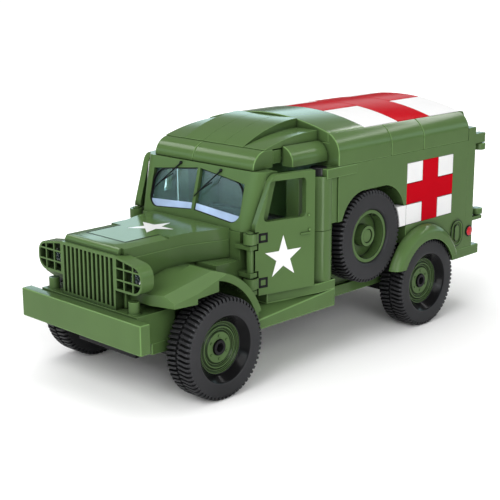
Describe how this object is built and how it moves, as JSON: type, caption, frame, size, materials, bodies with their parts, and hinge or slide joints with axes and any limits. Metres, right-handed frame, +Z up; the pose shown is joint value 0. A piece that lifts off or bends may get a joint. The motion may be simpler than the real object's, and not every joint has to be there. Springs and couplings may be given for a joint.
{
  "type": "toy brick model of a military ambulance truck",
  "caption": "Brick-built toy of a bonneted military ambulance truck: cab, ambulance box with red cross, hinged doors and rolling wheels with lugged tyres.",
  "frame": {"origin": "on the ground below the middle of the model's box", "axes": "+X forward, +Y to the vehicle's left, +Z up"},
  "size_m": [0.146, 0.0626, 0.0684],
  "materials": {
    "green_plastic": "moulded army green, satin gloss",
    "black_plastic": "moulded black",
    "grey_plastic": "moulded dark grey",
    "white_plastic": "moulded white, gloss",
    "red_plastic": "moulded red, gloss",
    "red_lamp": "translucent red lens",
    "clear_plastic": "clear moulded plastic",
    "tyre_rubber": "soft black rubber"
  },
  "bodies": {
    "model": {"bonnet": "green_plastic", "bonnet_top": "green_plastic", "box_wall_left": "green_plastic", "box_wall_right": "green_plastic", "brow": "green_plastic", "bulkhead": "green_plastic", "cab_rail_left": "green_plastic", "cab_rail_right": "green_plastic", "cab_roof": "green_plastic", "chassis": "black_plastic", "cowl": "green_plastic", "dashboard": "grey_plastic", "floor": "green_plastic", "front_axle": "black_plastic", "front_bumper": "green_plastic", "front_fender_left": "green_plastic", "front_fender_right": "green_plastic", "grille": "green_plastic", "headlamps": "clear_plastic", "nose_block": "green_plastic", "pillar_left": "green_plastic", "pillar_right": "green_plastic", "rear_axle": "black_plastic", "rear_fender_left": "green_plastic", "rear_fender_right": "green_plastic", "rear_frame": "green_plastic", "rear_step": "green_plastic", "roof_green": "green_plastic", "roof_rail_left": "green_plastic", "roof_rail_right": "green_plastic", "roof_red": "red_plastic", "roof_white": "white_plastic", "running_board_left": "green_plastic", "running_board_right": "green_plastic", "seats": "grey_plastic", "side_cross_red": "red_plastic", "side_cross_white": "white_plastic", "spare_mount": "green_plastic", "spare_rim": "green_plastic", "spare_tyre": "tyre_rubber", "steering_wheel": "black_plastic", "tail_lamps": "red_lamp", "windscreen_frame": "green_plastic", "windscreen_glass": "clear_plastic", "wipers": "black_plastic"},
    "wheel_front_left": {"rim_front_left": "green_plastic", "tyre_front_left": "tyre_rubber"},
    "wheel_front_right": {"rim_front_right": "green_plastic", "tyre_front_right": "tyre_rubber"},
    "wheel_rear_left": {"rim_rear_left": "green_plastic", "tyre_rear_left": "tyre_rubber"},
    "wheel_rear_right": {"rim_rear_right": "green_plastic", "tyre_rear_right": "tyre_rubber"},
    "cab_door_left": {"cab_door_left": "green_plastic"},
    "rear_door_left": {"rear_door_left": "green_plastic"},
    "cab_door_right": {"cab_door_right": "green_plastic"},
    "rear_door_right": {"rear_door_right": "green_plastic"}
  },
  "joints": [
    {"name": "spin_front_left", "type": "hinge", "parent": "model", "child": "wheel_front_left", "pos_m": [0.0485, 0.02605, 0.0139], "axis": [0, 1, 0], "continuous": true},
    {"name": "spin_front_right", "type": "hinge", "parent": "model", "child": "wheel_front_right", "pos_m": [0.0485, -0.02605, 0.0139], "axis": [0, 1, 0], "continuous": true},
    {"name": "spin_rear_left", "type": "hinge", "parent": "model", "child": "wheel_rear_left", "pos_m": [-0.0395, 0.02605, 0.0139], "axis": [0, 1, 0], "continuous": true},
    {"name": "spin_rear_right", "type": "hinge", "parent": "model", "child": "wheel_rear_right", "pos_m": [-0.0395, -0.02605, 0.0139], "axis": [0, 1, 0], "continuous": true},
    {"name": "cab_door_left_swing", "type": "hinge", "parent": "model", "child": "cab_door_left", "pos_m": [0.0326, 0.0235, 0.0331], "axis": [0, 0, -1], "range_deg": [0, 65]},
    {"name": "rear_door_left_swing", "type": "hinge", "parent": "model", "child": "rear_door_left", "pos_m": [-0.071, 0.0264, 0.042], "axis": [0, 0, -1], "range_deg": [0, 110]},
    {"name": "cab_door_right_swing", "type": "hinge", "parent": "model", "child": "cab_door_right", "pos_m": [0.0326, -0.0235, 0.0331], "axis": [0, 0, 1], "range_deg": [0, 65]},
    {"name": "rear_door_right_swing", "type": "hinge", "parent": "model", "child": "rear_door_right", "pos_m": [-0.071, -0.0264, 0.042], "axis": [0, 0, 1], "range_deg": [0, 110]}
  ]
}
